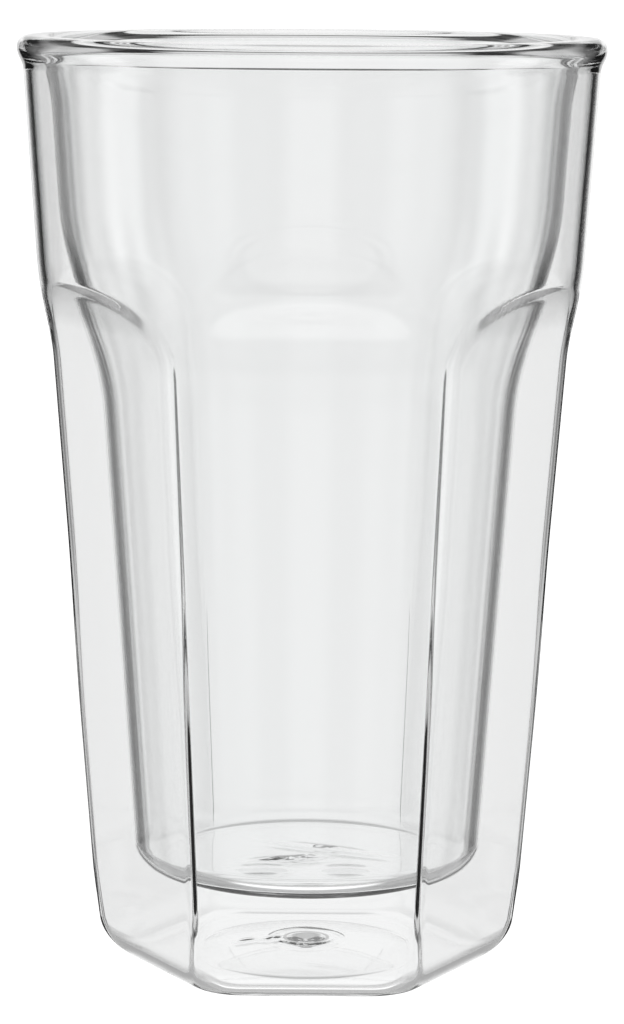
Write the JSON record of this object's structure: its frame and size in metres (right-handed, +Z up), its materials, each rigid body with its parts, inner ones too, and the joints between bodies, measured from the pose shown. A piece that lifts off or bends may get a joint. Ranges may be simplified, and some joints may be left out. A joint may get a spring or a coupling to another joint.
{
  "type": "double walled glass cup",
  "caption": "Tall tapered double walled glass cup: round mouth with a fused lip, soft shoulder, arch-topped flat panels below, and a sealed air gap round the inner well.",
  "frame": {"origin": "middle of the underside, on the surface that the cup stands on", "axes": "+Z up along the cup's axis, -Y towards the front, square to one flat panel"},
  "size_m": [0.0862, 0.0862, 0.1385],
  "materials": {
    "jacket_glass": "polished clear",
    "liner_glass": "polished clear",
    "lip_glass": "polished clear",
    "seal_glass": "polished clear"
  },
  "bodies": {
    "root": {"outer_jacket": "jacket_glass", "inner_liner": "liner_glass", "rim_bead": "lip_glass", "vent_seal": "seal_glass"}
  },
  "joints": []
}
